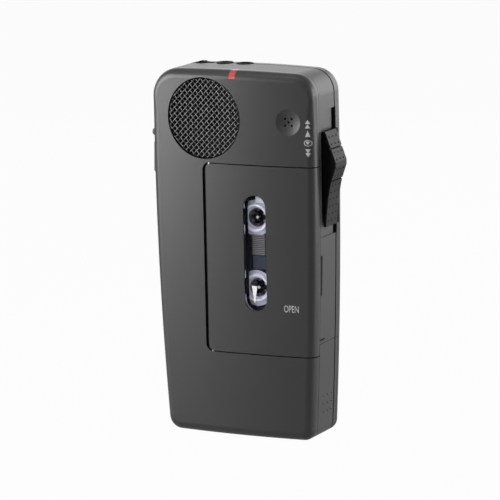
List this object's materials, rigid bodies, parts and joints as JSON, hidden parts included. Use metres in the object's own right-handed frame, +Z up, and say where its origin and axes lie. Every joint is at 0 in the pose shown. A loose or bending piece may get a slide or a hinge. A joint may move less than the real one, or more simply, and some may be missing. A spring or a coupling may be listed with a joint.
{
  "type": "microcassette dictation machine",
  "caption": "Pocket dictation machine with a hinged cassette door, long side slide switch, speaker mesh, record key, volume wheel, sliding battery door and a reel-driven tape deck inside.",
  "frame": {"origin": "middle of the flat bottom face", "axes": "+Z up the long axis, +X to the user's right (the slide switch side), front face with the cassette door towards -Y"},
  "size_m": [0.067, 0.024, 0.123],
  "materials": {
    "case_plastic": "fine-grained charcoal moulding",
    "frame_plastic": "fine-grained charcoal moulding",
    "grille_mesh": "satin dark grey",
    "lamp_red": "translucent red lens",
    "window_clear": "clear moulded window",
    "switch_black": "satin black",
    "pad_grey": "textured dark grey",
    "key_grey": "satin charcoal",
    "steel": "bright rolled steel",
    "zinc_steel": "zinc-plated sheet",
    "spring_steel": "spring steel",
    "brass_parts": "turned brass",
    "nickel_contact": "nickel-plated strip",
    "rubber_black": "black rubber",
    "cell_jacket": "printed-metal jacket without markings",
    "tray_plastic": "black moulding",
    "board_green": "green solder mask",
    "speaker_cone": "black paper cone",
    "cassette_grey": "lilac-grey moulding",
    "hub_white": "white nylon",
    "tape_brown": "brown oxide tape",
    "spindle_plastic": "natural acetal"
  },
  "bodies": {
    "housing": {"front_cover": "case_plastic", "speaker_grille": "grille_mesh", "record_light": "lamp_red", "door_hinge_pins": "steel", "side_frame": "frame_plastic", "rear_cover": "case_plastic", "case_screws": "steel", "battery_cell_lower": "cell_jacket", "battery_cell_upper": "cell_jacket", "battery_tray": "tray_plastic", "battery_contacts": "nickel_contact", "function_switch": "tray_plastic", "volume_control": "tray_plastic", "microphone_socket": "switch_black", "earphone_socket": "switch_black", "speaker": "speaker_cone", "microphone": "steel", "microphone_boot": "rubber_black", "circuit_board": "board_green", "chassis_plate": "zinc_steel", "spindle_bushes": "brass_parts", "deck_screws": "steel", "cassette_shell": "cassette_grey", "guide_rollers": "hub_white", "tape_run": "tape_brown", "motor": "steel", "drive_belt": "rubber_black", "carriage_studs": "steel"},
    "door": {"cassette_door": "case_plastic", "door_window": "window_clear", "cassette_spring": "spring_steel"},
    "slide": {"slide_switch": "switch_black", "switch_pads": "pad_grey"},
    "record_key": {"record_key": "key_grey"},
    "index_button": {"index_button": "key_grey"},
    "volume_wheel": {"volume_wheel": "switch_black"},
    "battery_lid": {"battery_door": "frame_plastic", "lid_contact": "nickel_contact"},
    "take_up": {"take_up_spindle": "spindle_plastic", "take_up_reel": "hub_white", "take_up_tape": "tape_brown"},
    "supply": {"supply_spindle": "spindle_plastic", "supply_reel": "hub_white", "supply_tape": "tape_brown"},
    "drive_wheel": {"drive_wheel": "rubber_black"},
    "motor_pulley": {"motor_pulley": "brass_parts"},
    "carriage": {"head_carriage": "zinc_steel", "tape_head": "steel"}
  },
  "joints": [
    {"name": "door_hinge", "type": "hinge", "parent": "housing", "child": "door", "pos_m": [-0.008, -0.011, 0.06], "axis": [0, 0, -1], "range_deg": [0, 80]},
    {"name": "switch_slide", "type": "slide", "parent": "housing", "child": "slide", "axis": [0, 0, 1], "range_m": [-0.0032, 0.0064]},
    {"name": "head_slide", "type": "slide", "parent": "housing", "child": "carriage", "axis": [1, 0, 0], "range_m": [-0.001, 0.002]},
    {"name": "record_key_press", "type": "slide", "parent": "housing", "child": "record_key", "axis": [1, 0, 0], "range_m": [0, 0.0012], "stiffness_N_per_m": 300, "springref_m": -0.0005},
    {"name": "index_button_press", "type": "slide", "parent": "housing", "child": "index_button", "axis": [1, 0, 0], "range_m": [0, 0.0012], "stiffness_N_per_m": 200, "springref_m": -0.0005},
    {"name": "volume_turn", "type": "hinge", "parent": "housing", "child": "volume_wheel", "pos_m": [-0.0181, 0.00575, 0.118], "axis": [0, 1, 0], "range_deg": [-140, 140]},
    {"name": "battery_door_slide", "type": "slide", "parent": "housing", "child": "battery_lid", "axis": [0, 0, -1], "range_m": [0, 0.034]},
    {"name": "take_up_spin", "type": "hinge", "parent": "housing", "child": "take_up", "pos_m": [0.0076, 0, 0.05035], "axis": [0, 1, 0], "continuous": true},
    {"name": "supply_spin", "type": "hinge", "parent": "housing", "child": "supply", "pos_m": [0.0076, 0, 0.07385], "axis": [0, 1, 0], "continuous": true},
    {"name": "drive_wheel_spin", "type": "hinge", "parent": "housing", "child": "drive_wheel", "pos_m": [-0.007, 0, 0.0585], "axis": [0, 1, 0], "continuous": true},
    {"name": "motor_spin", "type": "hinge", "parent": "housing", "child": "motor_pulley", "pos_m": [-0.0189, 0, 0.044], "axis": [0, 1, 0], "continuous": true}
  ],
  "couplings": [
    {"joint": "head_slide", "follows": "switch_slide", "ratio": 0.3},
    {"joint": "supply_spin", "follows": "take_up_spin", "ratio": 0.698},
    {"joint": "drive_wheel_spin", "follows": "take_up_spin", "ratio": -0.816},
    {"joint": "motor_spin", "follows": "take_up_spin", "ratio": -3.105}
  ]
}
